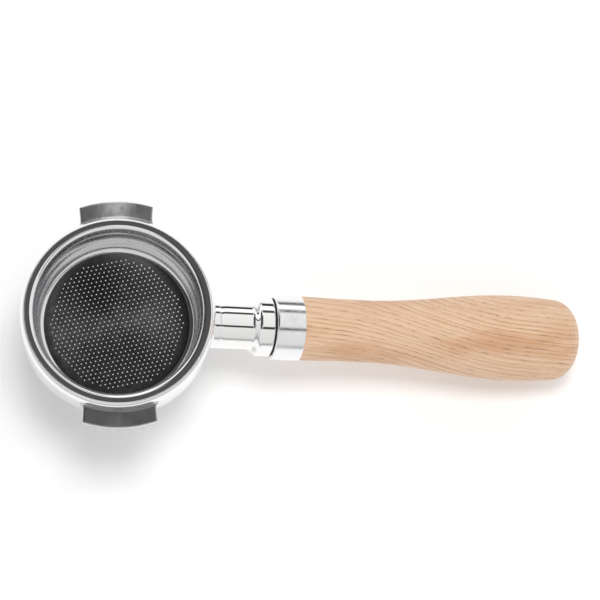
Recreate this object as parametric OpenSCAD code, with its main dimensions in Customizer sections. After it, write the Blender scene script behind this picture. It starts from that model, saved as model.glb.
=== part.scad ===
// Bottomless espresso portafilter with a turned wooden handle, for a 58 mm group head.
// The origin is the centre of the basket flange's top face, where the group gasket seats.
// +Z runs out of the open basket along its axis, and the handle leaves towards +X and droops.
// The lugs that lock into the group stand out along +Y and -Y.

/* [Filter holder] */
// Outside diameter of the holder ring
holder_d = 70; // [69:0.5:74]
// Bore that takes the basket
bore_d = 62; // [62:0.1:62.4]
// Height of the holder below the basket flange
holder_h = 31.6; // [31.4:0.2:36]
// Length of the straight part of the outside wall
straight_h = 13.2; // [10:0.2:15]
// Outside diameter at the base
base_d = 65; // [64.6:0.1:67]
// Radius of the rounded shoulder outside the basket flange
edge_r = 3.7; // [2.5:0.1:4]

/* [Lugs] */
// Distance across the two lugs
lug_span = 83; // [80:0.2:86]
// Width of each lug
lug_w = 26.8; // [22:0.2:28]
// Thickness of each lug
lug_t = 6.5; // [5:0.1:8]
// Depth of the lugs' upper faces below the gasket plane
lug_drop = 4.6; // [3:0.1:5]
// Turn of the lugs from square with the handle, in degrees
lug_turn = 1.4; // [-3:0.1:3]

/* [Basket] */
// Outside diameter of the basket flange
flange_d = 66.6; // [66:0.1:67.4]
// Inside diameter of the straight upper wall, which guides the tamper
basket_d = 58.8; // [58.4:0.1:58.8]
// Depth from the gasket plane to the basket floor
basket_depth = 22.6; // [21:0.1:26]
// Flat floor diameter, inside the corner radius
floor_d = 53; // [50:0.2:53.4]
// Thickness of the basket sheet
sheet_t = 0.8; // [0.6:0.1:0.8]
// Depth of the bead that the retaining spring snaps into, below the gasket plane
bead_z = 4.9; // [4.5:0.1:5.5]

/* [Handle] */
// Droop of the handle below the gasket plane, in degrees
droop = 10; // [8:0.5:12]
// Depth at which the handle's axis crosses the basket axis
axis_drop = 15.6; // [14:0.2:16]
// Diameter of the neck
neck_d = 17.6; // [16:0.2:18]
// Diameter of the neck's collar
collar_d = 22.1; // [21:0.1:23]
// Outside diameter of the ferrule
ferrule_d = 24.3; // [23.6:0.1:25]
// Narrowest diameter of the grip
waist_d = 23.1; // [22.4:0.1:24]
// Largest diameter of the grip
belly_d = 32.1; // [30:0.1:34]
// Distance from the basket axis to the end of the grip, along the handle
reach = 176.4; // [170:0.2:190]

/* [Handle fixings] */
// Thread of the stud that the handle screws on by
stud_d = 12; // [10:1:12]
// Turns that take the stud out of the neck
free_turns = 5.5; // [1:0.5:5.5]
// Pitch of the stud's thread
pitch = 1.75; // [1.5:0.25:1.75]

/* [Hidden] */
$fn = 96;

// Filter holder
bore_r = bore_d / 2;
holder_r = holder_d / 2;
seat_z = -sheet_t;
base_z = seat_z - holder_h;
foot_round = 1;
shoulder_tilt = 35;
shoulder_z = seat_z - edge_r * cos(shoulder_tilt);
lead_in = 1.1;
root_fillet = 2.5;
flank_flare = 0.4;
lug_chamfer = 0.6;

// Basket
wall_r = basket_d / 2;
mouth_r = 2;
mouth_flare = 0.5;
bead_top_flare = 0.4;
bead_in = 0.2;
bead_h = 1.1;
straight_z = -15;
corner_r = 2.2;
corner_z = corner_r - basket_depth;
flange_chamfer = 0.3;

// Retaining spring, a wire ring with a gap, in a groove of the holder
wire_r = 0.7;
spring_r = bore_r - 0.2;
spring_gap_deg = 24;
groove_r = bore_r + 0.9;
groove_h = 2 * wire_r + 0.6;

// Stations along the handle, measured from the basket axis
boss_start_s = 31;
socket_s = 33;
boss_s = 36.4;
flare_s = 48.6;
collar_s = 51.8;
neck_s = 56.6;
washer_t = 0.5;
ferrule_s = neck_s + washer_t;
ferrule_floor = 2.5;
grip_s = 67.8;
grip_step = 0.3;
waist_s = 91.8;
belly_s = reach - 26.2;
end_s = reach - 10;

// Stud and the brass insert in the grip
stud_s = neck_s - free_turns * pitch - 0.6;
stud_end_s = 86;
insert_end_s = 88;
stud_r = stud_d / 2 - 0.05;
thread_r = stud_d / 2 + 0.02;
pass_r = stud_d / 2 + 0.4;
insert_r = stud_d / 2 + 1.9;
insert_flange_t = 1.2;
spigot_r = 5.9;
boss_r = neck_d / 2 + 0.15;

// Gap left for glue between pieces that are fixed together
glue = 0.1;
tenon_s = ferrule_s + ferrule_floor + glue;
tenon_r = ferrule_d / 2 - 1.65;
insert_flange_r = tenon_r - 1;

// Points of an arc about [x, y], from angle a to angle b
function arc(x, y, r, a, b, n = 8) =
    [for (i = [0 : n]) let (t = a + (b - a) * i / n) [x + r * cos(t), y + r * sin(t)]];

// Smooth step from 0 at u = 0 to 1 at u = 1
function ease(u) = (1 - cos(180 * u)) / 2;

module along_handle() {
    translate([0, 0, -axis_drop]) rotate([0, 90 + droop, 0]) children();
}

// A plain round rod or bore along the handle, between stations a and b
module rod(r, a, b) {
    along_handle() translate([0, 0, a]) cylinder(r = r, h = b - a);
}

// Mirrors a flat shape across the Y axis for side -1
module on_side(side) {
    mirror([side < 0 ? 1 : 0, 0]) children();
}

// ---- Filter holder ----
// Ring with a straight upper wall that curves in towards the base
module holder_blank() {
    fall = shoulder_z - straight_h - base_z - foot_round;
    turn = 2 * atan((holder_d - base_d) / 2 / fall);
    taper_r = fall / sin(turn);
    rotate_extrude() polygon(concat(
        [[0, seat_z]],
        arc(holder_r - edge_r, shoulder_z, edge_r, 90 - shoulder_tilt, 0, 6),
        arc(holder_r - taper_r, shoulder_z - straight_h, taper_r, 0, -turn, 8),
        arc(base_d / 2 - foot_round, base_z + foot_round, foot_round, 0, -90, 4),
        [[0, base_z]]));
}

// Outline of one lug: flared flanks, a round outer edge and filleted roots
module lug_outline() {
    root_w = lug_w / 2 - flank_flare;
    fillet_r = holder_r + root_fillet;
    fillet_y = sqrt(pow(fillet_r, 2) - pow(root_w + root_fillet, 2));
    touch = holder_r / fillet_r;
    web_y = fillet_y - 3.6;
    intersection() {
        circle(r = lug_span / 2, $fn = 180);
        polygon([[-root_w, bore_r + 0.6], [root_w, bore_r + 0.6], [root_w, fillet_y],
                 [lug_w / 2, lug_span / 2 + 1], [-lug_w / 2, lug_span / 2 + 1], [-root_w, fillet_y]]);
    }
    for (side = [-1, 1]) on_side(side) difference() {
        polygon([[root_w - 1, web_y], [root_w - 1, fillet_y], [root_w + root_fillet, fillet_y],
                 [(root_w + root_fillet) * touch, fillet_y * touch], [root_w, web_y]]);
        translate([root_w + root_fillet, fillet_y]) circle(r = root_fillet);
    }
}

module lugs() {
    top = -lug_drop;
    low = top - lug_t;
    r = lug_span / 2;
    rotate(lug_turn) intersection() {
        for (a = [0, 180]) rotate(a)
            translate([0, 0, low]) linear_extrude(lug_t) lug_outline();
        rotate_extrude($fn = 180) polygon([[0, low], [r - lug_chamfer, low], [r, low + lug_chamfer],
            [r, top - lug_chamfer], [r - lug_chamfer, top], [0, top]]);
    }
}

module filter_holder() {
    color([0.82, 0.83, 0.84]) difference() {
        union() {
            holder_blank();
            lugs();
            rod(boss_r, boss_start_s, boss_s);
        }
        translate([0, 0, base_z - 1]) cylinder(r = bore_r, h = holder_h + 2);
        // Lead-in for the basket's rounded shoulder
        translate([0, 0, seat_z - 1]) cylinder(r1 = bore_r, r2 = bore_r + lead_in, h = lead_in);
        // Groove for the retaining spring
        translate([0, 0, -bead_z - groove_h / 2]) cylinder(r = groove_r, h = groove_h);
        rod(spigot_r + glue, socket_s, boss_s + 1);
    }
}

// ---- Neck: a turned piece with a spigot in the holder and a threaded socket for the stud ----
module neck() {
    neck_r = neck_d / 2;
    collar_r = collar_d / 2;
    rim_r = 0.5;
    spigot_s = socket_s + 0.3;
    thread_s = stud_s - 2.2;
    color([0.84, 0.84, 0.85]) along_handle() rotate_extrude() polygon(concat(
        [[0, spigot_s], [spigot_r, spigot_s], [spigot_r, boss_s],
         [neck_r - 0.3, boss_s], [neck_r, boss_s + 0.3]],
        [for (i = [0 : 10]) [neck_r + (collar_r - neck_r) * ease(i / 10),
            flare_s + (collar_s - flare_s) * i / 10]],
        arc(collar_r - rim_r, neck_s - rim_r, rim_r, 0, 90, 4),
        [[thread_r, neck_s], [thread_r, thread_s], [0, thread_s - 1.3]]));
}

// ---- Handle ----
module seal_washer() {
    color([0.09, 0.09, 0.1]) difference() {
        rod(collar_d / 2 - 0.4, neck_s, ferrule_s);
        rod(pass_r, neck_s - 1, ferrule_s + 1);
    }
}

// A turned cup that caps the grip's tenon
module ferrule() {
    r = ferrule_d / 2;
    rim_r = 0.7;
    color([0.76, 0.77, 0.79]) along_handle() rotate_extrude() polygon(concat(
        [[pass_r, ferrule_s]],
        arc(r - rim_r, ferrule_s + rim_r, rim_r, -90, 0, 5),
        [[r, grip_s - 0.2], [r - 0.2, grip_s], [tenon_r + glue, grip_s],
         [tenon_r + glue, ferrule_s + ferrule_floor], [pass_r, ferrule_s + ferrule_floor]]));
}

// Radius of the grip: from the ferrule down to the waist, up to the belly, and easing in past it
function grip_r(s) =
    let (rise = ease(pow(max(0, s - waist_s) / (belly_s - waist_s), 1.05)))
    s < waist_s ? waist_d / 2 + ((ferrule_d - waist_d) / 2 - grip_step)
        * pow((waist_s - s) / (waist_s - grip_s), 1.6)
    : s < belly_s ? waist_d / 2 + (belly_d - waist_d) / 2 * rise
    : belly_d / 2 - 0.8 * pow((s - belly_s) / (end_s - belly_s), 2);

// The rounded end, a superellipse quarter from station end_s to the tip
function end_point(a) = [grip_r(end_s) * pow(cos(a), 0.8), end_s + (reach - end_s) * sin(a)];

// Turned wood with a tenon for the ferrule, drilled for the insert and the stud
module grip() {
    insert_clear = insert_r + glue;
    flange_clear = insert_flange_r + glue;
    step_s = tenon_s + insert_flange_t + glue;
    color([0.86, 0.70, 0.52]) along_handle() rotate_extrude() polygon(concat(
        [[flange_clear, tenon_s], [tenon_r - 0.5, tenon_s], [tenon_r, tenon_s + 0.5],
         [tenon_r, grip_s], [grip_r(grip_s) - 0.15, grip_s]],
        [for (s = [grip_s + 0.3 : 4.8 : belly_s - 4]) [grip_r(s), s]],
        [for (s = [belly_s - 2 : 2.5 : end_s - 1]) [grip_r(s), s]],
        [for (a = [0 : 6 : 90]) end_point(a)],
        [[0, insert_end_s + 6], [stud_r + 0.3, insert_end_s + 3],
         [insert_clear, insert_end_s + glue], [insert_clear, step_s], [flange_clear, step_s]]));
}

module grip_insert() {
    color([0.78, 0.64, 0.34]) difference() {
        union() {
            rod(insert_flange_r, tenon_s, tenon_s + insert_flange_t);
            rod(insert_r, tenon_s, insert_end_s);
        }
        rod(thread_r, tenon_s - 1, insert_end_s + 1);
    }
}

module handle_stud() {
    chamfer = 1;
    color([0.70, 0.71, 0.73]) along_handle() rotate_extrude() polygon([
        [0, stud_s], [stud_r - chamfer, stud_s], [stud_r, stud_s + chamfer],
        [stud_r, stud_end_s - chamfer], [stud_r - chamfer, stud_end_s], [0, stud_end_s]]);
}

// ---- Basket ----
// Wall line from the mouth past the bead to the floor, offset outwards by t
function wall_line(t) = concat(
    arc(wall_r + mouth_flare + mouth_r, -mouth_r, mouth_r - t, 90, 180, 6),
    [for (i = [0 : 4]) [wall_r + t + bead_top_flare - (bead_top_flare + bead_in) * ease(i / 4),
        -bead_z + bead_h * (1 - i / 4)]],
    [for (i = [1 : 4]) [wall_r + t - bead_in * (1 - ease(i / 4)), -bead_z - bead_h * i / 4]],
    [[wall_r + t, straight_z]],
    [for (a = [-10 : -20 : -90])
        [floor_d / 2 + (corner_r + t) * cos(a), corner_z + (corner_r + t) * sin(a)]]);

module filter_basket() {
    inner = wall_line(0);
    outer = wall_line(sheet_t);
    back = [for (i = [len(outer) - 1 : -1 : 0]) outer[i]];
    edge = flange_d / 2;
    color([0.80, 0.81, 0.82]) rotate_extrude() polygon(concat(
        [[edge - flange_chamfer, 0]], inner,
        [[0, -basket_depth], [0, -basket_depth - sheet_t]], back,
        [[edge - flange_chamfer, -sheet_t], [edge, -sheet_t + flange_chamfer],
         [edge, -flange_chamfer]]));
}

module basket_spring() {
    color([0.60, 0.61, 0.63]) rotate(180 + spring_gap_deg / 2) translate([0, 0, -bead_z])
        rotate_extrude(angle = 360 - spring_gap_deg) translate([spring_r, 0]) circle(r = wire_r, $fn = 24);
}

filter_holder();
neck();
seal_washer();
ferrule();
grip();
grip_insert();
handle_stud();
filter_basket();
basket_spring();
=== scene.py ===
import math

import bpy
from mathutils import Matrix, Vector
from mathutils.geometry import delaunay_2d_cdt


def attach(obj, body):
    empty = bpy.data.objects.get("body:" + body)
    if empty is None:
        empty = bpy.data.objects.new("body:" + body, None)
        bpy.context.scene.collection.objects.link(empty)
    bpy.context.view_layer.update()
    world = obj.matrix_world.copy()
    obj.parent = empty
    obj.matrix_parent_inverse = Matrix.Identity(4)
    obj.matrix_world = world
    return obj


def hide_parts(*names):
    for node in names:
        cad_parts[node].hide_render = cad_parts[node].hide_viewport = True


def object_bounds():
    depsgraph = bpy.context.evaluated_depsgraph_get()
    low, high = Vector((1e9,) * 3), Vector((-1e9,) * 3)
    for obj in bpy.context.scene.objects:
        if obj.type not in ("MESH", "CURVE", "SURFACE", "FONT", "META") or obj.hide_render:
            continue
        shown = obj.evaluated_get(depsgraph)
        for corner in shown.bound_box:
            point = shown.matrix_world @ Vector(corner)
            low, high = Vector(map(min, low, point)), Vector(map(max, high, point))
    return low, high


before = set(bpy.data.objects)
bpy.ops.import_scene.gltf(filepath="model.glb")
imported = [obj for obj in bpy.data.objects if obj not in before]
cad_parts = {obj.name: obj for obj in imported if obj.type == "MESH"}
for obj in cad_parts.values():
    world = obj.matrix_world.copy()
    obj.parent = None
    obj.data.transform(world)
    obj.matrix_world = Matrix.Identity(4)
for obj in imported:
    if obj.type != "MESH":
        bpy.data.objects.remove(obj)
cad_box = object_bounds()

# Lengths are in millimetres, as in the part's own source, and turned to metres when a mesh is made.
MM = 0.001

# ---- Driving dimensions ----
HOLDER_R = 35
BORE_R = 31
SEAT_Z = -0.8
BASE_Z = -32.4
BASE_R = 32.5
STRAIGHT_H = 13.2
EDGE_R = 3.7
SHOULDER_TILT = 35
FOOT_ROUND = 1.0
GROOVE_R = 31.9
GROOVE_H = 2.0

LUG_R = 41.5
LUG_W = 26.8
LUG_T = 6.5
LUG_TOP = -4.6
LUG_TURN = 1.4
ROOT_FILLET = 2.5
FLANK_FLARE = 0.4
TOP_FILLET = 1.1

FLANGE_R = 33.3
WALL_R = 29.4
MOUTH_R = 2.0
MOUTH_FLARE = 0.5
BEAD_TOP_FLARE = 0.4
BEAD_IN = 0.2
BEAD_H = 1.1
BEAD_Z = -4.9
STRAIGHT_Z = -15
CORNER_R = 2.2
FLOOR_R = 26.5
FLOOR_Z = -22.6
SHEET = 0.8
CORNER_Z = FLOOR_Z + CORNER_R

HOLE_PITCH = 1.753
HOLE_TOP_R = 0.23
HOLE_LOW_R = 0.46
HOLE_SIDES = 12
FIELD_R = 24.2
FIELD_TURN = 12
SHEEN_TURN = 17

WIRE_R = 0.7
SPRING_R = 30.8
SPRING_GAP = 24

AXIS_DROP = 15.6
DROOP = 10
NECK_R = 8.8
BOSS_R = 8.95
BOSS_S = 36.4
BOSS_FILLET = 0.8
COVE_LENGTH = 2.0
FLARE_S = 48.6
COLLAR_S = 51.8
COLLAR_R = 11.05
NECK_S = 56.6
FERRULE_S = 57.1
FERRULE_R = 12.15
FERRULE_FLOOR = 2.5
GRIP_S = 67.8
GRIP_STEP = 0.3
GRIP_END_FALL = 0.8
WAIST_S = 91.8
WAIST_R = 11.55
BELLY_S = 150.2
BELLY_R = 16.05
END_S = 166.4
REACH = 176.4
TENON_R = 10.5
GLUE = 0.1
TENON_S = FERRULE_S + FERRULE_FLOOR + GLUE

STUD_S = 46.375
STUD_END_S = 86
STUD_R = 5.95
THREAD_DEPTH = 0.95
THREAD_PITCH = 1.75
THREAD_BORE_R = 6.02
PASS_R = 6.4
INSERT_R = 7.9
INSERT_END_S = 88
INSERT_FLANGE_R = 9.5
INSERT_FLANGE_T = 1.2

# Gap between faces that touch in the CAD, so that they don't flicker through each other
SKIN = 0.02

# The handle's pieces are made with their own Z along the handle, and this places them.
HANDLE = (Matrix.Translation((0, 0, -AXIS_DROP * MM))
          @ Matrix.Rotation(math.radians(90 + DROOP), 4, "Y"))


# ---- Mesh helpers ----
def cosd(a):
    return math.cos(math.radians(a))


def sind(a):
    return math.sin(math.radians(a))


SHOULDER_Z = SEAT_Z - EDGE_R * cosd(SHOULDER_TILT)


def ease(u):
    """Smooth step from 0 at u = 0 to 1 at u = 1."""
    return (1 - math.cos(math.pi * u)) / 2


def make_object(name, verts, faces, place=Matrix.Identity(4)):
    mesh = bpy.data.meshes.new(name)
    mesh.from_pydata([[c * MM for c in v] for v in verts], [], faces)
    mesh.validate()
    mesh.shade_smooth()
    obj = bpy.data.objects.new(name, mesh)
    bpy.context.scene.collection.objects.link(obj)
    obj.matrix_world = place
    return obj


def arc(x, y, r, a, b, n=10):
    """Points of an arc about (x, y), from angle a to angle b in degrees."""
    return [(x + r * cosd(a + (b - a) * i / n), y + r * sind(a + (b - a) * i / n)) for i in range(n + 1)]


def rounded(corners, steps=6):
    """An outline from corners (x, y) or (x, y, fillet radius). Its ends stay as they are."""
    points = []
    for i, corner in enumerate(corners):
        if len(corner) == 2:
            points.append(corner)
            continue
        x, y, r = corner
        before, after = corners[i - 1], corners[(i + 1) % len(corners)]
        ax, ay = before[0] - x, before[1] - y
        bx, by = after[0] - x, after[1] - y
        la, lb = math.hypot(ax, ay), math.hypot(bx, by)
        ax, ay, bx, by = ax / la, ay / la, bx / lb, by / lb
        half = math.acos(max(-1, min(1, ax * bx + ay * by))) / 2
        reach = r / math.tan(half)
        mx, my = ax + bx, ay + by
        lm = math.hypot(mx, my)
        cx, cy = x + mx / lm * r / math.sin(half), y + my / lm * r / math.sin(half)
        start = math.atan2(y + ay * reach - cy, x + ax * reach - cx)
        sweep = math.atan2(y + by * reach - cy, x + bx * reach - cx) - start
        sweep = (sweep + math.pi) % (2 * math.pi) - math.pi
        for k in range(steps + 1):
            turn = start + sweep * k / steps
            points.append((cx + r * math.cos(turn), cy + r * math.sin(turn)))
    return points


def firm(points, closed, reach=0.12):
    """Adds points near the ends of long straight stretches, so that smooth shading keeps them flat."""
    result = []
    count = len(points)
    for i, (x, y) in enumerate(points):
        result.append((x, y))
        if i == count - 1 and not closed:
            break
        nx, ny = points[(i + 1) % count]
        length = math.hypot(nx - x, ny - y)
        if length > 5 * reach:
            for share in (reach / length, 1 - reach / length):
                result.append((x + (nx - x) * share, y + (ny - y) * share))
    return result


def circle(r, z, segments):
    """Points of a level circle about Z."""
    return [(r * cosd(360 * k / segments), r * sind(360 * k / segments), z) for k in range(segments)]


def lathe(name, outline, segments=192, closed=False, place=Matrix.Identity(4)):
    """Turns an outline of (radius, height) about Z. An open outline starts and ends on the axis."""
    outline = firm(outline, closed)
    verts = []
    rings = []
    for r, z in outline:
        if r < 1e-6:
            rings.append([len(verts)] * segments)
            verts.append((0, 0, z))
        else:
            rings.append(list(range(len(verts), len(verts) + segments)))
            verts += circle(r, z, segments)
    faces = []
    pairs = list(zip(rings, rings[1:] + rings[:1])) if closed else list(zip(rings, rings[1:]))
    for low, high in pairs:
        for k in range(segments):
            n = (k + 1) % segments
            face = list(dict.fromkeys((low[k], low[n], high[n], high[k])))
            if len(face) > 2:
                faces.append(face)
    return make_object(name, verts, faces, place)


# ---- Filter holder ----
def taper():
    """Centre height, turn and radius of the arc that curves the ring in towards its base."""
    z = SHOULDER_Z - STRAIGHT_H
    fall = z - BASE_Z - FOOT_ROUND
    turn = 2 * math.degrees(math.atan((HOLDER_R - BASE_R) / fall))
    return z, turn, fall / sind(turn)


def holder_outer_r(z):
    """Outside radius of the ring at height z."""
    taper_z, _, r = taper()
    if z > SHOULDER_Z:
        return HOLDER_R - EDGE_R + math.sqrt(EDGE_R ** 2 - (z - SHOULDER_Z) ** 2)
    if z > taper_z:
        return HOLDER_R
    if z > BASE_Z + FOOT_ROUND:
        return HOLDER_R - r + math.sqrt(r ** 2 - (z - taper_z) ** 2)
    return BASE_R - FOOT_ROUND + math.sqrt(max(0, FOOT_ROUND ** 2 - (z - BASE_Z - FOOT_ROUND) ** 2))


def holder_ring():
    """The ring's section, from the spring's groove up over the seat and down the outside."""
    taper_z, turn, r = taper()
    low, high = BEAD_Z - GROOVE_H / 2, BEAD_Z + GROOVE_H / 2
    lead_in = 1
    return lathe("holder_ring", rounded(
        [(BORE_R, low, 0.15), (GROOVE_R, low, 0.2), (GROOVE_R, high, 0.2), (BORE_R, high, 0.15),
         (BORE_R, SEAT_Z - lead_in, 0.3), (BORE_R + lead_in, SEAT_Z, 0.15)]
        + arc(HOLDER_R - EDGE_R, SHOULDER_Z, EDGE_R, 90 - SHOULDER_TILT, 0, 16)
        + arc(HOLDER_R - r, taper_z, r, 0, -turn, 24)
        + arc(BASE_R - FOOT_ROUND, BASE_Z + FOOT_ROUND, FOOT_ROUND, 0, -90, 8)
        + [(BORE_R, BASE_Z, 0.3)]), segments=288, closed=True)


def lug_half_width(y):
    """Half width of a lug at distance y from the centre: a filleted root and a slightly flared flank."""
    root_w = LUG_W / 2 - FLANK_FLARE
    fillet_r = HOLDER_R + ROOT_FILLET
    fillet_y = math.sqrt(fillet_r ** 2 - (root_w + ROOT_FILLET) ** 2)
    if y > fillet_y:
        return root_w + FLANK_FLARE * ease((y - fillet_y) / (LUG_R - fillet_y))
    return root_w + ROOT_FILLET - math.sqrt(max(0, ROOT_FILLET ** 2 - (fillet_y - y) ** 2))


def root_rise(r):
    """Rise of a lug's upper face at radius r, in the fillet where it meets the ring."""
    left = min(TOP_FILLET, max(0, HOLDER_R + TOP_FILLET - r))
    return TOP_FILLET - math.sqrt(TOP_FILLET ** 2 - left ** 2)


def lug(name, turn):
    """A lug as stacked outlines with rounded upper and lower edges, closed by a grid above and below."""
    across, along = 40, 56
    edge = 0.55
    inner_y = BORE_R + 1.2
    corner_y = math.sqrt(LUG_R ** 2 - (LUG_W / 2) ** 2)
    turns = (0, 22.5, 45, 67.5, 90)
    layers = [(edge * (1 - sind(a)), LUG_TOP - edge * (1 - cosd(a))) for a in turns]
    layers += [(edge * (1 - sind(a)), LUG_TOP - LUG_T + edge * (1 - cosd(a))) for a in reversed(turns)]
    size = 2 * along + across + 1

    def point(i, j, layer):
        inset, z = layers[layer]
        half = lug_half_width(inner_y + (corner_y - inner_y) * j / along) - inset
        x = half * (2 * i / across - 1)
        outer_y = math.sqrt((LUG_R - inset) ** 2 - x * x)
        y = inner_y + (outer_y - inner_y) * j / along
        return (x, y, z + root_rise(math.hypot(x, y)) if layer == 0 else z)

    rim = ([(0, j) for j in range(along + 1)] + [(i, along) for i in range(1, across)]
           + [(across, j) for j in range(along, -1, -1)])
    verts = [point(i, j, layer) for layer in range(len(layers)) for i, j in rim]
    faces = [[a + k, a + (k + 1) % size, a + size + (k + 1) % size, a + size + k]
             for a in range(0, (len(layers) - 1) * size, size) for k in range(size)]
    for layer in (0, len(layers) - 1):
        grid = {spot: layer * size + k for k, spot in enumerate(rim)}
        for j in range(along):
            for i in range(1, across):
                grid[i, j] = len(verts)
                verts.append(point(i, j, layer))
        for j in range(along):
            for i in range(across):
                face = [grid[i, j], grid[i + 1, j], grid[i + 1, j + 1], grid[i, j + 1]]
                faces.append(face[::-1] if layer else face)
    obj = make_object(name, verts, faces, Matrix.Rotation(math.radians(turn), 4, "Z"))
    steep = 0.6
    for face in obj.data.polygons:
        face.material_index = 1 if abs(face.normal.z) < steep else 0
    return obj


def ring_station(angle, r):
    """Station where a line along the handle, at that angle and radius, leaves the ring."""
    low, high = 20.0, 45.0
    margin = 0.1
    for _ in range(40):
        middle = (low + high) / 2
        p = HANDLE @ Matrix.Translation((r * cosd(angle) * MM, r * sind(angle) * MM, middle * MM)).translation
        z = min(SEAT_Z - margin, max(BASE_Z + margin, p.z / MM))
        if math.hypot(p.x, p.y) / MM < holder_outer_r(z):
            low = middle
        else:
            high = middle
    return (low + high) / 2


def boss():
    """The round boss that takes the neck, with a fillet where it leaves the ring."""
    segments, steps = 144, 10
    end_round = 0.08
    sunk = 0.8
    verts = []
    rings = []

    def add_ring(r, station):
        rings.append(range(len(verts), len(verts) + segments))
        for k in range(segments):
            a = 360 * k / segments
            verts.append((r * cosd(a), r * sind(a), station(a)))

    wide = BOSS_R + BOSS_FILLET
    add_ring(wide, lambda a: ring_station(a, wide) - sunk)
    for i in range(steps + 1):
        t = 90 * i / steps
        r = BOSS_R + BOSS_FILLET * (1 - sind(t))
        add_ring(r, lambda a: ring_station(a, r) + BOSS_FILLET * (1 - cosd(t)))
    for r, s in arc(BOSS_R - end_round, BOSS_S - end_round, end_round, 0, 90, 5):
        add_ring(r, lambda a: s)
    faces = []
    for low, high in zip(rings, rings[1:]):
        for k in range(segments):
            n = (k + 1) % segments
            faces.append([low[k], low[n], high[n], high[k]])
    faces += [list(rings[0])[::-1], list(rings[-1])]
    return make_object("neck_boss", verts, faces, HANDLE)


# ---- Neck and handle ----
def neck():
    """The neck flows out of the boss in a cove and widens to the collar in an S."""
    fine = 24
    cove = [(NECK_R + (BOSS_R - NECK_R) * (1 - u) ** 2, BOSS_S + COVE_LENGTH * u)
            for u in (0, 0.15, 0.3, 0.45, 0.6, 0.8, 1)]
    flare = [(NECK_R + (COLLAR_R - NECK_R) * ease(i / fine), FLARE_S + (COLLAR_S - FLARE_S) * i / fine)
             for i in range(fine + 1)]
    return lathe("neck", rounded(
        [(0, BOSS_S + SKIN)] + cove + flare
        + [(COLLAR_R, NECK_S, 0.5), (THREAD_BORE_R + 0.6, NECK_S), (THREAD_BORE_R, NECK_S - 0.6),
           (THREAD_BORE_R, STUD_S - 2.2), (0, STUD_S - 3.5)]), place=HANDLE)


def seal_washer():
    inset = 0.4
    r = COLLAR_R - inset
    low, high = NECK_S + SKIN, FERRULE_S - SKIN
    return lathe("seal_washer", rounded(
        [(PASS_R, low, 0.15), (r, low, 0.3), (r, high, 0.3), (PASS_R, high, 0.15)]),
        closed=True, place=HANDLE)


def ferrule():
    bore = TENON_R + GLUE
    floor_s = FERRULE_S + FERRULE_FLOOR
    return lathe("ferrule", rounded(
        [(PASS_R, FERRULE_S, 0.2), (FERRULE_R, FERRULE_S, 0.7), (FERRULE_R, GRIP_S, 0.15),
         (bore, GRIP_S, 0.1), (bore, floor_s), (PASS_R, floor_s)]), closed=True, place=HANDLE)


def grip_r(s):
    """Radius of the grip: down to the waist, up to the belly and easing in past it."""
    if s < WAIST_S:
        return WAIST_R + (FERRULE_R - GRIP_STEP - WAIST_R) * ((WAIST_S - s) / (WAIST_S - GRIP_S)) ** 1.6
    if s < BELLY_S:
        return WAIST_R + (BELLY_R - WAIST_R) * ease(((s - WAIST_S) / (BELLY_S - WAIST_S)) ** 1.05)
    return BELLY_R - GRIP_END_FALL * ((s - BELLY_S) / (END_S - BELLY_S)) ** 2


def grip():
    """The grip: the drilled hole for the insert, the tenon, the turned side and a full, blunt end."""
    count = 90
    start = GRIP_S + 0.35
    side = [(grip_r(s), s) for s in (start + (END_S - start) * i / count for i in range(count))]
    end = [(grip_r(END_S) * max(0, cosd(a)) ** 0.8, END_S + (REACH - END_S) * sind(a))
           for a in [4 * i for i in range(22)] + [87, 88.5, 89.4]]
    clear, flange = INSERT_R + GLUE, INSERT_FLANGE_R + GLUE
    step_s, drill_s = TENON_S + INSERT_FLANGE_T + GLUE, INSERT_END_S + GLUE
    return lathe("grip", rounded(
        [(0, INSERT_END_S + 6), (STUD_R + 0.3, INSERT_END_S + 3), (clear, drill_s), (clear, step_s),
         (flange, step_s), (flange, TENON_S), (TENON_R, TENON_S, 0.4), (TENON_R, GRIP_S),
         (grip_r(GRIP_S) - 0.12, GRIP_S + 0.02), (grip_r(GRIP_S) - 0.03, GRIP_S + 0.12)])
        + side + end + [(0, REACH)], segments=160, place=HANDLE)


def grip_insert():
    return lathe("grip_insert", rounded(
        [(THREAD_BORE_R, TENON_S, 0.3), (INSERT_FLANGE_R, TENON_S, 0.2),
         (INSERT_FLANGE_R, TENON_S + INSERT_FLANGE_T, 0.2), (INSERT_R, TENON_S + INSERT_FLANGE_T, 0.1),
         (INSERT_R, INSERT_END_S, 0.3), (THREAD_BORE_R, INSERT_END_S, 0.3)]), segments=96, closed=True,
        place=HANDLE)


def handle_stud():
    """A stud with a real helical thread: each point's radius follows the thread's phase."""
    segments, per_turn = 64, 12
    steep, crest = 2.6, 0.15
    length = STUD_END_S - STUD_S
    rows = round(length / THREAD_PITCH * per_turn)
    verts = [(0, 0, STUD_S)]
    for j in range(rows + 1):
        s = STUD_S + length * j / rows
        inset = max(0, 1 - (s - STUD_S), 1 - (STUD_END_S - s))
        for k in range(segments):
            phase = (s / THREAD_PITCH - k / segments) % 1
            ridge = min(1, max(0, steep * abs(phase - 0.5) - crest))
            r = min(STUD_R - THREAD_DEPTH * ridge, STUD_R - inset)
            verts.append((r * cosd(360 * k / segments), r * sind(360 * k / segments), s))
    verts.append((0, 0, STUD_END_S))
    faces = []
    for k in range(segments):
        n = (k + 1) % segments
        faces.append([0, 1 + n, 1 + k])
        for j in range(rows):
            a, b = 1 + j * segments, 1 + (j + 1) * segments
            faces.append([a + k, a + n, b + n, b + k])
        faces.append([1 + rows * segments + k, 1 + rows * segments + n, len(verts) - 1])
    return make_object("handle_stud", verts, faces, HANDLE)


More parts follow.
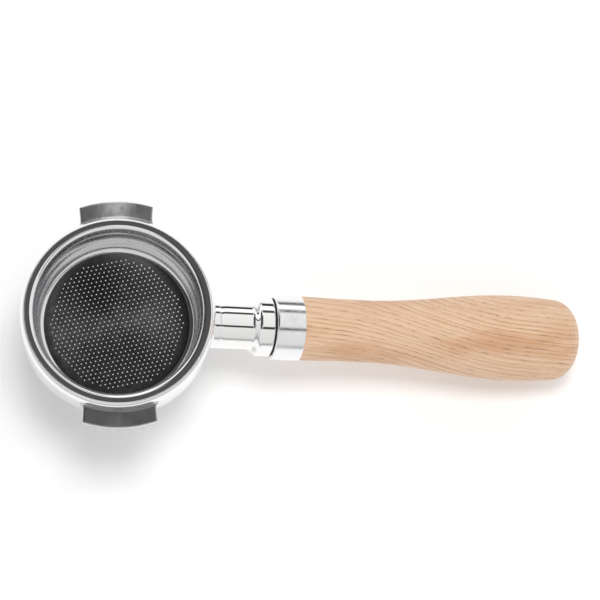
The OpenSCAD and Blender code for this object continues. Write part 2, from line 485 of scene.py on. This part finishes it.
# ---- Basket ----
def wall_line(t):
    """Basket wall from the mouth past the bead to the floor, offset outwards by t."""
    fine = 12
    lean = 10
    bead_top = [(WALL_R + t + BEAD_TOP_FLARE - (BEAD_TOP_FLARE + BEAD_IN) * ease(i / fine),
                 BEAD_Z + BEAD_H * (1 - i / fine)) for i in range(fine + 1)]
    bead_low = [(WALL_R + t - BEAD_IN * (1 - ease(i / fine)), BEAD_Z - BEAD_H * i / fine)
                for i in range(1, fine + 1)]
    wall_end = (FLOOR_R + (CORNER_R + t) * cosd(-lean), CORNER_Z + (CORNER_R + t) * sind(-lean))
    upper = (WALL_R + t, STRAIGHT_Z)
    bend = [(upper[0] + (wall_end[0] - upper[0]) * u * u, upper[1] + (wall_end[1] - upper[1]) * u)
            for u in [i / 10 for i in range(10)]]
    return (arc(WALL_R + MOUTH_FLARE + MOUTH_R, -MOUTH_R, MOUTH_R - t, 90, 180, 12)
            + bead_top + bead_low + bend
            + [(FLOOR_R + (CORNER_R + t) * cosd(a), CORNER_Z + (CORNER_R + t) * sind(a))
               for a in range(-lean, -91, -8)])


def hole_centres():
    """Centres of a hexagonal field of holes."""
    reach = math.ceil(FIELD_R / HOLE_PITCH) + 1
    centres = []
    for row in range(-2 * reach, 2 * reach + 1):
        for col in range(-2 * reach, 2 * reach + 1):
            x = HOLE_PITCH * (col + row / 2)
            y = HOLE_PITCH * row * math.sqrt(3) / 2
            if math.hypot(x, y) < FIELD_R:
                centres.append((x * cosd(FIELD_TURN) - y * sind(FIELD_TURN),
                                x * sind(FIELD_TURN) + y * cosd(FIELD_TURN)))
    return centres


def filter_basket():
    """Sheet shell with a floor that real tapered holes pierce."""
    segments = 288
    inner = wall_line(0)
    outer = wall_line(SHEET)
    edge = [(FLANGE_R, SEAT_Z, 0.12), (FLANGE_R, 0, 0.12)]
    line = firm(outer[::-1] + rounded([outer[0]] + edge + [inner[0]])[1:-1] + inner, False)
    line[0], line[-1] = (FLOOR_R, FLOOR_Z - SHEET), (FLOOR_R, FLOOR_Z)
    verts = [v for r, z in line for v in circle(r, z, segments)]
    faces = []
    for j in range(len(line) - 1):
        a, b = j * segments, (j + 1) * segments
        for k in range(segments):
            n = (k + 1) % segments
            faces.append([a + k, a + n, b + n, b + k])
    wall_faces = len(faces)

    centres = hole_centres()
    flat = [v[:2] for v in circle(FLOOR_R, 0, segments)]
    corners = [v[:2] for v in circle(1, 0, HOLE_SIDES)]
    middle_r = (HOLE_TOP_R + HOLE_LOW_R) / 2
    flat += [(x + middle_r * cx, y + middle_r * cy) for x, y in centres for cx, cy in corners]
    edges = [(k, (k + 1) % segments) for k in range(segments)]
    for h in range(len(centres)):
        first = segments + h * HOLE_SIDES
        edges += [(first + k, first + (k + 1) % HOLE_SIDES) for k in range(HOLE_SIDES)]
    triangles = delaunay_2d_cdt(flat, edges, [], 0, 1e-6)[2]

    def hole_of(i):
        return None if i < segments else (i - segments) // HOLE_SIDES

    solid = [t for t in triangles if len({hole_of(i) for i in t}) > 1 or hole_of(t[0]) is None]
    floors = []
    for z, r, ring in ((FLOOR_Z, HOLE_TOP_R, (len(line) - 1) * segments), (FLOOR_Z - SHEET, HOLE_LOW_R, 0)):
        first = len(verts)
        verts += [(x + r * cx, y + r * cy, z) for x, y in centres for cx, cy in corners]
        floors.append((ring, first))

    def on_floor(i, floor):
        ring, first = floor
        return ring + i if i < segments else first + i - segments

    faces += [[on_floor(i, floors[0]) for i in t] for t in solid]
    faces += [[on_floor(i, floors[1]) for i in reversed(t)] for t in solid]
    for h in range(len(centres)):
        for k in range(HOLE_SIDES):
            n = (k + 1) % HOLE_SIDES
            a, b = h * HOLE_SIDES + k, h * HOLE_SIDES + n
            faces.append([floors[0][1] + b, floors[0][1] + a, floors[1][1] + a, floors[1][1] + b])
    obj = make_object("filter_basket", verts, faces)
    mesh = obj.data
    for p in mesh.polygons:
        if p.index >= wall_faces:
            p.material_index = 1
            p.use_smooth = False
        elif p.center.z > -MOUTH_R * MM:
            p.material_index = 2
    return obj


def basket_spring():
    """A wire ring with a gap and rounded ends."""
    sides, steps = 20, 180
    start, sweep = 180 + SPRING_GAP / 2, 360 - SPRING_GAP
    cap = math.degrees(WIRE_R / SPRING_R)
    turns = (10, 30, 50, 70)
    stations = [(start - cap * sind(90 - t) + cap, WIRE_R * sind(t)) for t in turns]
    stations += [(start + cap + (sweep - 2 * cap) * i / steps, WIRE_R) for i in range(steps + 1)]
    stations += [(start + sweep + cap * sind(90 - t) - cap, WIRE_R * sind(t)) for t in reversed(turns)]
    verts = []
    for a, r in stations:
        for k in range(sides):
            rr = SPRING_R + r * cosd(360 * k / sides)
            verts.append((rr * cosd(a), rr * sind(a), BEAD_Z + r * sind(360 * k / sides)))
    faces = [[a + k, a + (k + 1) % sides, a + sides + (k + 1) % sides, a + sides + k]
             for a in range(0, (len(stations) - 1) * sides, sides) for k in range(sides)]
    faces += [list(range(sides))[::-1], list(range(len(verts) - sides, len(verts)))]
    return make_object("basket_spring", verts, faces)


# ---- Materials ----
def new_material(name):
    material = bpy.data.materials.new(name)
    material.use_nodes = True
    tree = material.node_tree
    return material, tree, tree.nodes["Principled BSDF"]


def add(tree, kind, inputs=(), **settings):
    """Adds a node. inputs are (socket, value or output socket) pairs."""
    node = tree.nodes.new(kind)
    for key, value in settings.items():
        setattr(node, key, value)
    for key, value in inputs:
        if isinstance(value, bpy.types.NodeSocket):
            tree.links.new(value, node.inputs[key])
        else:
            node.inputs[key].default_value = value
    return node


def math_node(tree, operation, a, b=0.0):
    return add(tree, "ShaderNodeMath", [(0, a), (1, b)], operation=operation).outputs[0]


def times(tree, a, b):
    return math_node(tree, "MULTIPLY", a, b)


def plus(tree, a, b):
    return math_node(tree, "ADD", a, b)


def object_xyz(tree):
    """The object's own x, y and z in metres."""
    coord = add(tree, "ShaderNodeTexCoord")
    return add(tree, "ShaderNodeSeparateXYZ", [(0, coord.outputs["Object"])]).outputs


def distance_from_axis(tree, x, y):
    return math_node(tree, "SQRT", plus(tree, times(tree, x, x), times(tree, y, y)))


def joined(tree, x, y, z):
    return add(tree, "ShaderNodeCombineXYZ", [(0, x), (1, y), (2, z)]).outputs[0]


def fade(tree, value, low, high, top=1.0, bottom=0.0, smooth=False):
    """Maps low to top and high to bottom, and stays there beyond them."""
    return add(tree, "ShaderNodeMapRange", [("Value", value), ("From Min", low), ("From Max", high),
                                            ("To Min", top), ("To Max", bottom)],
               interpolation_type="SMOOTHSTEP" if smooth else "LINEAR").outputs[0]


def coordinates(tree, scale):
    """The object's own coordinates in metres, times scale along each axis."""
    coord = add(tree, "ShaderNodeTexCoord")
    return add(tree, "ShaderNodeMapping", [("Vector", coord.outputs["Object"]), ("Scale", scale)]).outputs[0]


def noise(tree, vector, scale=1.0, detail=3.0, roughness=0.5):
    node = add(tree, "ShaderNodeTexNoise", [("Vector", vector), ("Scale", scale), ("Detail", detail),
                                            ("Roughness", roughness)])
    return node.outputs["Fac"]


def spread(tree, value, low, high, from_low=0.3, from_high=0.7):
    """Maps a noise value to a range."""
    return add(tree, "ShaderNodeMapRange", [("Value", value), ("From Min", from_low), ("From Max", from_high),
                                            ("To Min", low), ("To Max", high)]).outputs[0]


def ramp(tree, value, stops):
    node = add(tree, "ShaderNodeValToRGB", [("Fac", value)])
    elements = node.color_ramp.elements
    while len(elements) < len(stops):
        elements.new(0.5)
    for element, (position, color) in zip(elements, stops):
        element.position = position
        element.color = (*color, 1)
    return node.outputs[0]


def mix_color(tree, factor, a, b):
    node = add(tree, "ShaderNodeMix", [(0, factor)], data_type="RGBA")
    for socket, value in ((node.inputs[6], a), (node.inputs[7], b)):
        if isinstance(value, bpy.types.NodeSocket):
            tree.links.new(value, socket)
        else:
            socket.default_value = (*value, 1)
    return node.outputs[2]


def bump(tree, height, distance):
    return add(tree, "ShaderNodeBump", [("Height", height), ("Distance", distance),
                                        ("Strength", 1.0)]).outputs[0]


def metal(name, tint, rough, brushed=0.0, lines=0.0, grain=0.000002, spot=0.06, wear=0.3,
          painted_highlight_tint=None, painted_fan_tint=None):
    """A metal with faint stains, uneven polish and fine marks. Turning lines run round the object's Z.

    brushed is the anisotropy, lines the scale of the turning lines, grain the depth of the marks in metres,
    spot the darkness of the stains and wear the unevenness of the polish. The last two are the tints of a
    painted highlight about the object's YZ plane and of the painted reflection and shade on a turned face.
    """
    material, tree, shader = new_material(name)
    stains = noise(tree, coordinates(tree, (90, 90, 90)), detail=6, roughness=0.6)
    dark = tuple(c * (1 - spot) for c in tint)
    color = mix_color(tree, spread(tree, stains, 0, 1), dark, tint)
    # Painted highlight: a brighter patch across the middle of a lug
    if painted_highlight_tint:
        color = mix_color(tree, painted_highlight_mask(tree), color, painted_highlight_tint)
    # Painted reflection and shade: dark sectors between bright lobes, and a dark rim, on a turned face
    if painted_fan_tint:
        color = mix_color(tree, painted_sheen_sectors(tree), color, painted_fan_tint)
    tree.links.new(color, shader.inputs["Base Color"])
    polish = noise(tree, coordinates(tree, (420, 420, 420)), detail=5, roughness=0.7)
    tree.links.new(spread(tree, polish, rough * (1 - wear), rough * (1 + wear)), shader.inputs["Roughness"])
    shader.inputs["Metallic"].default_value = 1
    marks = noise(tree, coordinates(tree, (900, 900, 900)), detail=4)
    if lines:
        x, y, z = object_xyz(tree)
        line_at = joined(tree, distance_from_axis(tree, x, y), 0.0, z)
        turned = noise(tree, line_at, scale=lines, detail=3, roughness=0.7)
        marks = plus(tree, times(tree, marks, 0.3), turned)
    tree.links.new(bump(tree, marks, grain), shader.inputs["Normal"])
    if brushed:
        shader.inputs["Anisotropic"].default_value = brushed
        shader.inputs["Anisotropic Rotation"].default_value = 0.25
        tangent = add(tree, "ShaderNodeTangent", direction_type="RADIAL", axis="Z")
        tree.links.new(tangent.outputs[0], shader.inputs["Tangent"])
    return material


def painted_highlight_mask(tree):
    """Painted highlight: 1 in the middle of a lug, falling to 0 towards its ends in fine streaks."""
    x, _, _ = object_xyz(tree)
    streaks = noise(tree, coordinates(tree, (1500, 160, 160)), detail=4, roughness=0.6)
    edge = plus(tree, math_node(tree, "ABSOLUTE", x), spread(tree, streaks, -0.0016, 0.0016))
    return fade(tree, edge, 0.0005, 0.0095, smooth=True)


def painted_sheen_sectors(tree):
    """Painted reflection and shade on a turned disc: how dark it is painted.

    It is least along one line through the middle, more across that line and on the -X side, and 1 at the rim.
    """
    hub_r, rim_in, rim_out = 0.008, 0.0225, 0.0265
    x, y, _ = object_xyz(tree)
    turn = math_node(tree, "SUBTRACT", math_node(tree, "ARCTAN2", y, x), math.radians(SHEEN_TURN))
    across = math_node(tree, "ABSOLUTE", math_node(tree, "SINE", turn))
    radius = distance_from_axis(tree, x, y)
    sector = times(tree, spread(tree, across, 0, 0.75, 0.15, 0.95), spread(tree, radius, 0, 1, 0.0, hub_r))
    # Painted shade: the -X side is painted darker
    sector = plus(tree, sector, spread(tree, x, 0.28, 0, -hub_r, hub_r))
    # Painted shade at the rim, in the corner where the floor meets the wall
    rim = spread(tree, radius, 0, 1, rim_in, rim_out)
    return math_node(tree, "MAXIMUM", sector, rim)


def rubber():
    material, tree, shader = new_material("black_rubber")
    mottled = noise(tree, coordinates(tree, (700, 700, 700)), detail=5)
    tree.links.new(mix_color(tree, mottled, (0.030, 0.029, 0.029), (0.065, 0.062, 0.060)),
                   shader.inputs["Base Color"])
    tree.links.new(spread(tree, mottled, 0.55, 0.75), shader.inputs["Roughness"])
    tree.links.new(bump(tree, mottled, 0.00003), shader.inputs["Normal"])
    return material


# Colours of the wood, from the palest to the dark of its pores
WOOD_PALE = (0.85, 0.62, 0.45)
WOOD_BODY = (0.78, 0.52, 0.345)
WOOD_TAN = (0.60, 0.32, 0.165)
WOOD_PORE = (0.25, 0.105, 0.055)

# The growth layers, in metres: their width, and how far they sweep, wander, ripple and vary
LAYER_WIDTH = 0.00162
LAYER_SWEEP = 0.0085
LAYER_WANDER = 0.0028
LAYER_RIPPLE = 0.00035
LAYER_UNEVEN = 0.0020
# The sweep's start and end along the grip, the layers' slope along it and their tilt about it
SWEEP_FROM = 0.082
SWEEP_TO = 0.150
LAYER_SLOPE = 0.075
TILT_X = 0.31
TILT_Y = 0.95


def growth_layers(tree, x, y, s):
    """Distance across the layers: a tilted plane that sweeps sideways along the grip and wanders."""
    sweep = fade(tree, s, SWEEP_FROM, SWEEP_TO, 0.0, LAYER_SWEEP, smooth=True)
    sweep = plus(tree, sweep, times(tree, s, LAYER_SLOPE))
    wander = noise(tree, coordinates(tree, (60, 60, 14)), detail=1)
    ripple = noise(tree, coordinates(tree, (260, 260, 60)), detail=2)
    across = plus(tree, times(tree, y, TILT_Y), times(tree, x, -TILT_X))
    across = plus(tree, across, sweep)
    across = plus(tree, across, times(tree, wander, LAYER_WANDER))
    across = plus(tree, across, times(tree, ripple, LAYER_RIPPLE))
    uneven = add(tree, "ShaderNodeTexNoise", [("W", times(tree, across, 330)), ("Scale", 1.0),
                                              ("Detail", 1.0)], noise_dimensions="1D").outputs["Fac"]
    return plus(tree, across, times(tree, uneven, LAYER_UNEVEN))


def wood():
    """Ring-porous wood. The growth layers are solid, so the turned surface cuts through them."""
    material, tree, shader = new_material("oiled_ash")
    x, y, s = object_xyz(tree)
    across = growth_layers(tree, x, y, s)
    other = plus(tree, times(tree, y, TILT_X), times(tree, x, TILT_Y))

    def drawn_out(width, depth, length):
        """Coordinates for marks that run along the grain."""
        return joined(tree, times(tree, across, width), times(tree, other, depth), times(tree, s, length))

    rings = math_node(tree, "DIVIDE", across, LAYER_WIDTH)
    phase = math_node(tree, "FRACT", rings)
    index = math_node(tree, "FLOOR", rings)
    per_ring = add(tree, "ShaderNodeTexWhiteNoise", [("W", index)], noise_dimensions="1D").outputs["Value"]

    # One ring: a dark row of pores, pale wood, then a slow darkening towards the next row
    body = ramp(tree, phase, [(0.0, WOOD_TAN), (0.12, WOOD_BODY), (0.30, WOOD_PALE), (0.74, WOOD_BODY),
                              (0.94, WOOD_TAN), (1.0, WOOD_TAN)])
    plain = mix_color(tree, noise(tree, coordinates(tree, (70, 70, 12)), detail=3), WOOD_BODY, WOOD_PALE)
    faint = spread(tree, noise(tree, coordinates(tree, (110, 110, 16)), detail=2), 0.3, 1.0, 0.38, 0.60)
    clear = times(tree, spread(tree, per_ring, 0.40, 1.0, 0, 1), faint)
    color = mix_color(tree, clear, plain, body)
    patches = noise(tree, coordinates(tree, (95, 95, 22)), detail=2)
    color = mix_color(tree, spread(tree, patches, 0, 0.60, 0.50, 0.70), color, WOOD_TAN)
    streaks = noise(tree, drawn_out(900, 300, 30), detail=2)
    color = mix_color(tree, spread(tree, streaks, 0, 0.5, 0.55, 0.72), color, WOOD_TAN)

    # Fibres, long and very fine
    fibre = noise(tree, drawn_out(5200, 5200, 130), detail=3, roughness=0.6)
    color = mix_color(tree, spread(tree, fibre, 0.0, 0.42, 0.45, 0.72), color, WOOD_TAN)

    # Pores, short dashes that crowd into the start of each ring
    dash = noise(tree, drawn_out(2300, 2300, 260), detail=1, roughness=0.4)
    early = fade(tree, phase, 0.02, 0.30)
    pores = times(tree, spread(tree, dash, 0, 1, 0.50, 0.66), early)
    pores = times(tree, pores, spread(tree, patches, 0.35, 1.0, 0.30, 0.60))
    color = mix_color(tree, times(tree, pores, 0.85), color, WOOD_PORE)
    tree.links.new(color, shader.inputs["Base Color"])

    tree.links.new(spread(tree, fibre, 0.42, 0.60), shader.inputs["Roughness"])
    relief = math_node(tree, "SUBTRACT", times(tree, fibre, 0.35), pores)
    tree.links.new(bump(tree, relief, 0.00004), shader.inputs["Normal"])
    shader.inputs["Specular IOR Level"].default_value = 0.35
    shader.inputs["Coat Weight"].default_value = 0.12
    shader.inputs["Coat Roughness"].default_value = 0.28
    return material


# ---- Camera ----
CAMERA_AT = (-13.44, -189.60, 882.09)
CAMERA_TILT = -12.42
CAMERA_PAN = 4.97
CAMERA_ROLL = -0.64
CAMERA_LENS = 151.4

view = (Matrix.Rotation(math.radians(CAMERA_ROLL), 3, "Z") @ Matrix.Rotation(math.radians(CAMERA_PAN), 3, "Y")
        @ Matrix.Rotation(math.radians(CAMERA_TILT), 3, "X")).transposed()
camera_data = bpy.data.cameras.new("camera")
camera_data.lens = CAMERA_LENS
camera_data.sensor_width = 36
camera_data.clip_start = 0.01
camera_data.clip_end = 50
camera = bpy.data.objects.new("camera", camera_data)
bpy.context.scene.collection.objects.link(camera)
camera.matrix_world = Matrix.Translation([c * MM for c in CAMERA_AT]) @ view.to_4x4()
bpy.context.scene.camera = camera


# ---- Studio ----
def studio_world():
    """White surroundings with a bright panel, and with dark gaps that the polished faces mirror."""
    world = bpy.data.worlds.new("studio")
    world.use_nodes = True
    bpy.context.scene.world = world
    tree = world.node_tree
    background = tree.nodes["Background"]
    coord = add(tree, "ShaderNodeTexCoord")
    x, y, z = add(tree, "ShaderNodeSeparateXYZ", [(0, coord.outputs["Generated"])]).outputs
    angle = math_node(tree, "DEGREES", math_node(tree, "ARCTAN2", y, z))
    aside = math_node(tree, "DEGREES", math_node(tree, "ARCSINE", x))

    def band(value, low, high, soft):
        """1 between low and high, falling to 0 over soft degrees beyond them."""
        rise = fade(tree, value, low - soft, low, 0.0, 1.0, smooth=True)
        return times(tree, rise, fade(tree, value, high, high + soft, smooth=True))

    def window(angles, asides):
        """1 inside a rectangle of the surroundings, given as low, high and soft degrees each way."""
        return times(tree, band(angle, *angles), band(aside, *asides))

    # How much light the panel adds, what share of it the gaps take away, and how bright the backdrop looks
    panel, over_depth, gap_depth, backdrop = 0.35, 0.90, 0.93, 0.90

    light = times(tree, spread(tree, y, 0.76, 1.0, -1, 1), spread(tree, z, 0.45, 1.0, 0.0, 0.24))
    light = plus(tree, light, times(tree, window((60, 74, 1), (-38, 40, 4)), panel))

    # Dark gaps: one overhead, one on the -X side, and three narrow ones on the +X side
    over = window((-6, 30, 3), (-13, 14, 3))
    away = window((-20, 51, 2), (-66, -14, 3))
    lines = plus(tree, band(angle, -22.5, -14, 1.2), band(angle, 78, 92, 1.2))
    lines = plus(tree, lines, times(tree, band(angle, 46, 55.5, 1.5), 0.98))
    lines = times(tree, lines, band(aside, 7, 60, 4))
    dark = math_node(tree, "MAXIMUM", times(tree, over, over_depth),
                     times(tree, math_node(tree, "MAXIMUM", lines, away), gap_depth))
    light = times(tree, light, math_node(tree, "SUBTRACT", 1.0, dark))

    # The backdrop itself is plain. The gaps and the panel are seen in reflections only.
    seen = add(tree, "ShaderNodeLightPath").outputs["Is Camera Ray"]
    light = times(tree, light, math_node(tree, "SUBTRACT", 1.0, seen))
    light = plus(tree, light, times(tree, seen, backdrop))
    tree.links.new(light, background.inputs["Strength"])
    background.inputs["Color"].default_value = (1, 0.997, 0.99, 1)


def area_light(name, at, towards, size, power):
    data = bpy.data.lights.new(name, "AREA")
    data.shape = "RECTANGLE"
    data.size, data.size_y = size
    data.energy = power
    lamp = bpy.data.objects.new(name, data)
    bpy.context.scene.collection.objects.link(lamp)
    lamp.location = at
    lamp.rotation_euler = (lamp.location - Vector(towards)).to_track_quat("Z", "Y").to_euler()
    lamp.visible_glossy = False


def floor():
    """A pale floor just under the part's lowest point."""
    half, cells = 6000, 24
    gap, glow = 0.05, 0.14
    z = cad_box[0][2] / MM - gap
    verts = [(-half + 2 * half * i / cells, -half + 2 * half * j / cells, z)
             for j in range(cells + 1) for i in range(cells + 1)]
    row = cells + 1
    faces = [[j * row + i, j * row + i + 1, (j + 1) * row + i + 1, (j + 1) * row + i]
             for j in range(cells) for i in range(cells)]
    obj = make_object("floor", verts, faces)
    material, tree, shader = new_material("pale_floor")
    speckle = noise(tree, coordinates(tree, (40, 40, 40)), detail=4)
    pale = mix_color(tree, speckle, (0.93, 0.93, 0.93), (0.95, 0.95, 0.95))
    tree.links.new(pale, shader.inputs["Base Color"])
    shader.inputs["Roughness"].default_value = 0.9
    shader.inputs["Specular IOR Level"].default_value = 0.1
    shader.inputs["Emission Color"].default_value = (1, 1, 1, 1)
    shader.inputs["Emission Strength"].default_value = glow
    obj.data.materials.append(material)


studio_world()
floor()
area_light("key", at=(0.06, 0.12, 0.97), towards=(0.06, 0, 0), size=(0.3, 0.3), power=4.6)
bpy.context.scene.view_settings.view_transform = "Standard"

# ---- Assembly ----
chrome = metal("polished_chrome", (0.93, 0.935, 0.945), 0.035, spot=0.04)
neck_chrome = metal("mirror_chrome", (0.95, 0.945, 0.94), 0.02, spot=0.03)
# Lit and shaded copies of one lug finish: the -Y lug's darker tint is painted shade for the ring's shadow on
# it, the +Y lug's lighter tint and bright middle a painted highlight
bottom_lug_shaded = metal("lug_satin_painted_shade", (0.33, 0.325, 0.335), 0.42, brushed=0.8, lines=2600, grain=0.000006,
                  spot=0.16)
top_lug_lit = metal("lug_satin_painted_highlight", (0.44, 0.44, 0.455), 0.40, brushed=0.8, lines=2600, grain=0.000006,
                   spot=0.16, painted_highlight_tint=(0.93, 0.93, 0.95))
lug_side = metal("satin_chrome", (0.62, 0.62, 0.63), 0.30, spot=0.08, grain=0.000004)
basket_satin = metal("satin_steel", (0.79, 0.79, 0.80), 0.13, spot=0.04, grain=0.00000003, wear=0.05)
basket_polish = metal("polished_steel", (0.90, 0.90, 0.915), 0.05, spot=0.06, grain=0.0000003)
# The basket floor's low tint and the dark sectors over it are painted reflection of dark surroundings, with
# bright lobes left between them; its dark rim is painted shade
floor_steel = metal("brushed_steel_painted_sheen", (0.46, 0.46, 0.475), 0.22, brushed=0.88, lines=5200, grain=0.0000005,
                    spot=0.10, painted_fan_tint=(0.12, 0.12, 0.125))
aluminium = metal("turned_aluminium", (0.93, 0.935, 0.945), 0.20, brushed=0.4, lines=6000, grain=0.0000003)
brass = metal("turned_brass", (0.80, 0.58, 0.25), 0.24, brushed=0.4, lines=4000, grain=0.000004)
zinc = metal("zinc_thread", (0.70, 0.71, 0.73), 0.28, spot=0.15, grain=0.000004)
wire = metal("spring_wire", (0.62, 0.63, 0.65), 0.25, spot=0.12, grain=0.000004)

pieces = [
    (holder_ring(), "holder", "holder_chrome", [chrome], ["filter_holder"]),
    (lug("lug_back", LUG_TURN), "holder", "holder_chrome", [top_lug_lit, lug_side], []),
    (lug("lug_front", LUG_TURN + 180), "holder", "holder_chrome", [bottom_lug_shaded, lug_side], []),
    (boss(), "holder", "holder_chrome", [chrome], []),
    (neck(), "holder", "neck_chrome", [neck_chrome], ["neck"]),
    (seal_washer(), "thread_carriage", "washer_rubber", [rubber()], ["seal_washer"]),
    (ferrule(), "handle", "ferrule_aluminium", [aluminium], ["ferrule"]),
    (grip(), "handle", "grip_wood", [wood()], ["grip"]),
    (grip_insert(), "handle", "insert_brass", [brass], ["grip_insert"]),
    (handle_stud(), "handle", "stud_steel", [zinc], ["handle_stud"]),
    (filter_basket(), "basket", "basket_steel", [basket_satin, floor_steel, basket_polish],
     ["filter_basket"]),
    (basket_spring(), "spring_ring", "spring_steel", [wire], ["basket_spring"]),
]
for piece, body, slot, materials, nodes in pieces:
    for material in materials:
        piece.data.materials.append(material)
    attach(piece, body)
    if nodes:
        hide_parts(*nodes)
